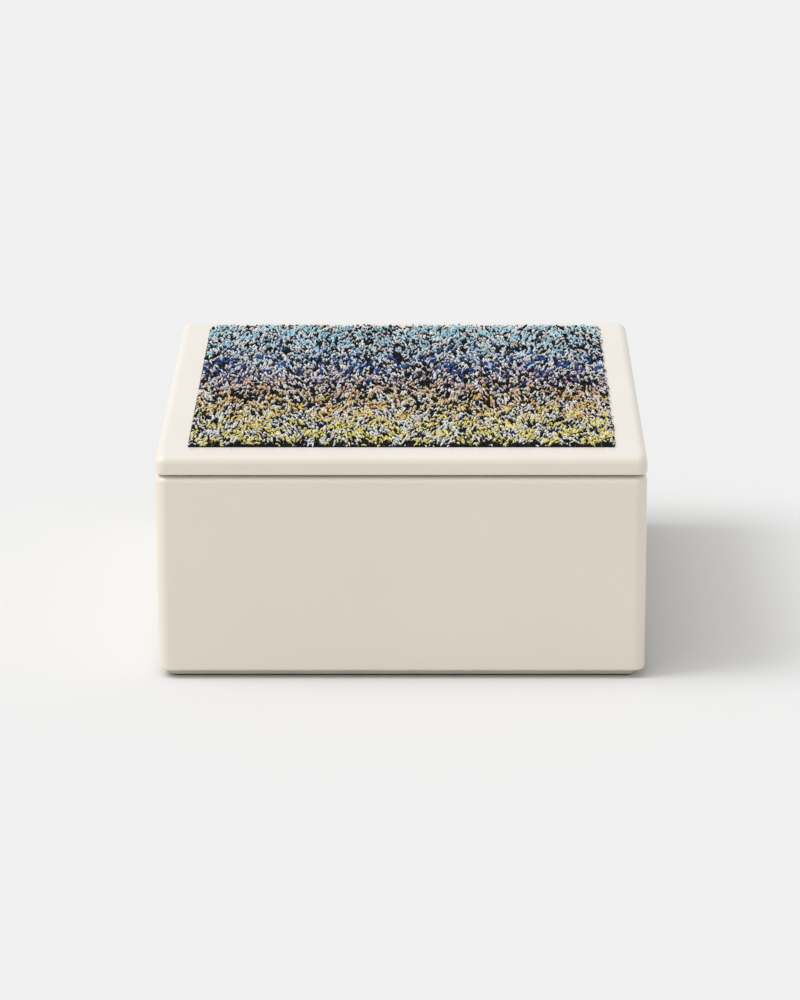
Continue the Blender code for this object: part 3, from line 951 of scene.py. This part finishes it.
def add_camera():
    """The photograph's viewpoint, by the lid's size."""
    low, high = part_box("lid_board")
    width = high.x - low.x
    lens = bpy.data.cameras.new("camera")
    lens.sensor_fit = "HORIZONTAL"
    lens.sensor_width = SENSOR_WIDTH_MM
    lens.lens = FOCAL_LENGTH_PX / FRAME_WIDTH_PX * SENSOR_WIDTH_MM
    lens.shift_x = (FRAME_WIDTH_PX / 2 - OPTICAL_AXIS_PX) / FRAME_WIDTH_PX
    camera = bpy.data.objects.new("camera", lens)
    bpy.context.collection.objects.link(camera)
    camera.location = (
        CAMERA_SIDE_SHARE * width,
        low.y - CAMERA_BACK_SHARE * width,
        high.z + CAMERA_RISE_SHARE * width,
    )
    camera.rotation_euler.x = math.radians(90 - CAMERA_DROP_DEG)
    bpy.context.scene.camera = camera


def grey(tone):
    """An opaque linear grey."""
    return (tone, tone, tone, 1.0)


def add_floor():
    """A wide pale floor."""
    half = FLOOR_SIZE / 2
    mesh = bpy.data.meshes.new("floor")
    corners = ((-half, -half, 0), (half, -half, 0), (half, half, 0), (-half, half, 0))
    mesh.from_pydata(corners, [], [(0, 1, 2, 3)])
    material, _, shader = material_tree("floor")
    shader.inputs["Base Color"].default_value = grey(FLOOR_TONE)
    shader.inputs["Roughness"].default_value = 1.0
    shader.inputs["Specular IOR Level"].default_value = 0.0
    mesh.materials.append(material)
    floor = bpy.data.objects.new("floor", mesh)
    bpy.context.collection.objects.link(floor)


def add_lamp(name, share, turn_deg, height_deg, spread_deg):
    """A far round lamp on the left, turned towards the front, that lights a level floor by its share."""
    lamp = bpy.data.lights.new(name, "SUN")
    lamp.energy = share * math.pi / math.sin(math.radians(height_deg))
    lamp.angle = math.radians(spread_deg)
    item = bpy.data.objects.new(name, lamp)
    item.rotation_euler = (0, -math.radians(90 - height_deg), math.radians(turn_deg))
    bpy.context.collection.objects.link(item)


def add_light():
    """The two lamps, and a surround that shows as the pale backdrop."""
    add_lamp("key", KEY_SHARE, KEY_TURN_DEG, KEY_HEIGHT_DEG, KEY_SPREAD_DEG)
    add_lamp("high", HIGH_SHARE, HIGH_TURN_DEG, HIGH_HEIGHT_DEG, HIGH_SPREAD_DEG)
    world = bpy.data.worlds.new("surround")
    bpy.context.scene.world = world
    world.use_nodes = True
    tree = world.node_tree
    light = tree.nodes["Background"]
    light.inputs["Color"].default_value = grey(1.0)
    light.inputs["Strength"].default_value = SURROUND_SHARE
    seen = tree.nodes.new("ShaderNodeBackground")
    seen.inputs["Color"].default_value = grey(BACKDROP_TONE)
    seen.inputs["Strength"].default_value = 1.0
    path = tree.nodes.new("ShaderNodeLightPath")
    shows = path.outputs["Is Camera Ray"]
    for ray in ("Is Glossy Ray", "Is Transmission Ray"):
        either = tree.nodes.new("ShaderNodeMath")
        either.operation = "MAXIMUM"
        tree.links.new(shows, either.inputs[0])
        tree.links.new(path.outputs[ray], either.inputs[1])
        shows = either.outputs[0]
    mix = tree.nodes.new("ShaderNodeMixShader")
    tree.links.new(shows, mix.inputs[0])
    tree.links.new(light.outputs[0], mix.inputs[1])
    tree.links.new(seen.outputs[0], mix.inputs[2])
    tree.links.new(mix.outputs[0], tree.nodes["World Output"].inputs["Surface"])


lacquer = lacquer_material()
add_case(lacquer)
add_lid(lacquer)
add_cloth(ground_material())
finish_nodes(lacquer)
add_camera()
add_floor()
add_light()
bpy.context.scene.view_settings.view_transform = "Standard"
